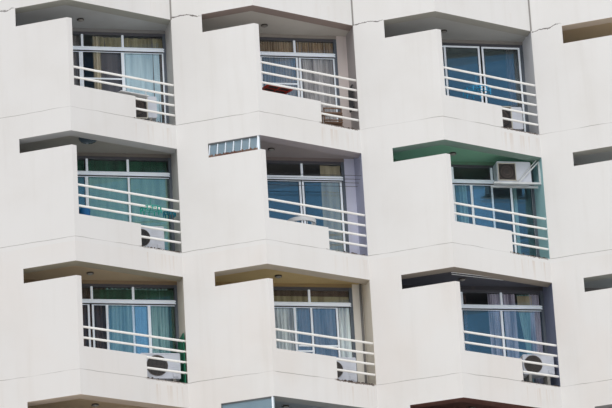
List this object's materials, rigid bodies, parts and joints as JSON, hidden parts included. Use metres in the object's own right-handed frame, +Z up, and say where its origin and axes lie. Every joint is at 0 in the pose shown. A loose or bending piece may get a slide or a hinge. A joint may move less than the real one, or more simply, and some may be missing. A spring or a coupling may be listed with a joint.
{
  "type": "folded-front apartment block",
  "caption": "Apartment block section with folded balcony fronts, tall screens, low parapets and tube rails on both long sides.",
  "frame": {"origin": "bottom centre of the block, on the ground under its middle", "axes": "+X along the front from left to right, +Z up, the pictured front faces -Y"},
  "size_m": [16.4, 14.88, 15.15],
  "materials": {
    "outer_render": "matt painted render",
    "inner_wall": "matt painted render",
    "balcony_slab": "painted concrete soffit",
    "room_floor": "smooth screed",
    "roof_deck": "weathered screed",
    "step_concrete": "trowelled concrete",
    "foot_concrete": "cast concrete",
    "white_frame": "white coated",
    "window_glass": "clear, slightly tinted",
    "slot_glass": "pale glazed panel",
    "door_panel": "coated leaf",
    "rail_paint": "white gloss paint",
    "cooler_paint": "cream powder coat",
    "bracket_metal": "weathered paint",
    "lamp_shade": "opal",
    "pipe_plastic": "grey"
  },
  "bodies": {
    "root": {"ceiling_lamps": "lamp_shade", "cooler_brackets": "bracket_metal", "cooler_feet": "foot_concrete", "corridor_window_frames": "white_frame", "corridor_window_glass": "window_glass", "drain_pipes": "pipe_plastic", "entrance_doors": "door_panel", "entrance_frames": "white_frame", "entrance_steps": "step_concrete", "front_air_conditioners": "cooler_paint", "front_balcony_slabs": "balcony_slab", "front_fins": "outer_render", "front_jamb_walls": "inner_wall", "front_left_beams": "outer_render", "front_lintels": "inner_wall", "front_parapets": "outer_render", "front_piers": "outer_render", "front_rails": "rail_paint", "front_right_beams": "outer_render", "front_screens": "outer_render", "front_window_bars": "white_frame", "front_window_glass": "window_glass", "front_window_jambs": "white_frame", "gable_spandrels": "outer_render", "gable_walls": "outer_render", "ground_floor": "room_floor", "left_roof_parapets": "outer_render", "rear_air_conditioners": "cooler_paint", "rear_balcony_slabs": "balcony_slab", "rear_fins": "outer_render", "rear_jamb_walls": "inner_wall", "rear_left_beams": "outer_render", "rear_lintels": "inner_wall", "rear_parapets": "outer_render", "rear_piers": "outer_render", "rear_rails": "rail_paint", "rear_right_beams": "outer_render", "rear_screens": "outer_render", "rear_window_bars": "white_frame", "rear_window_glass": "window_glass", "rear_window_jambs": "white_frame", "right_roof_parapets": "outer_render", "roof_slab": "roof_deck", "slot_glazing": "slot_glass", "upper_floors": "room_floor"}
  },
  "joints": []
}
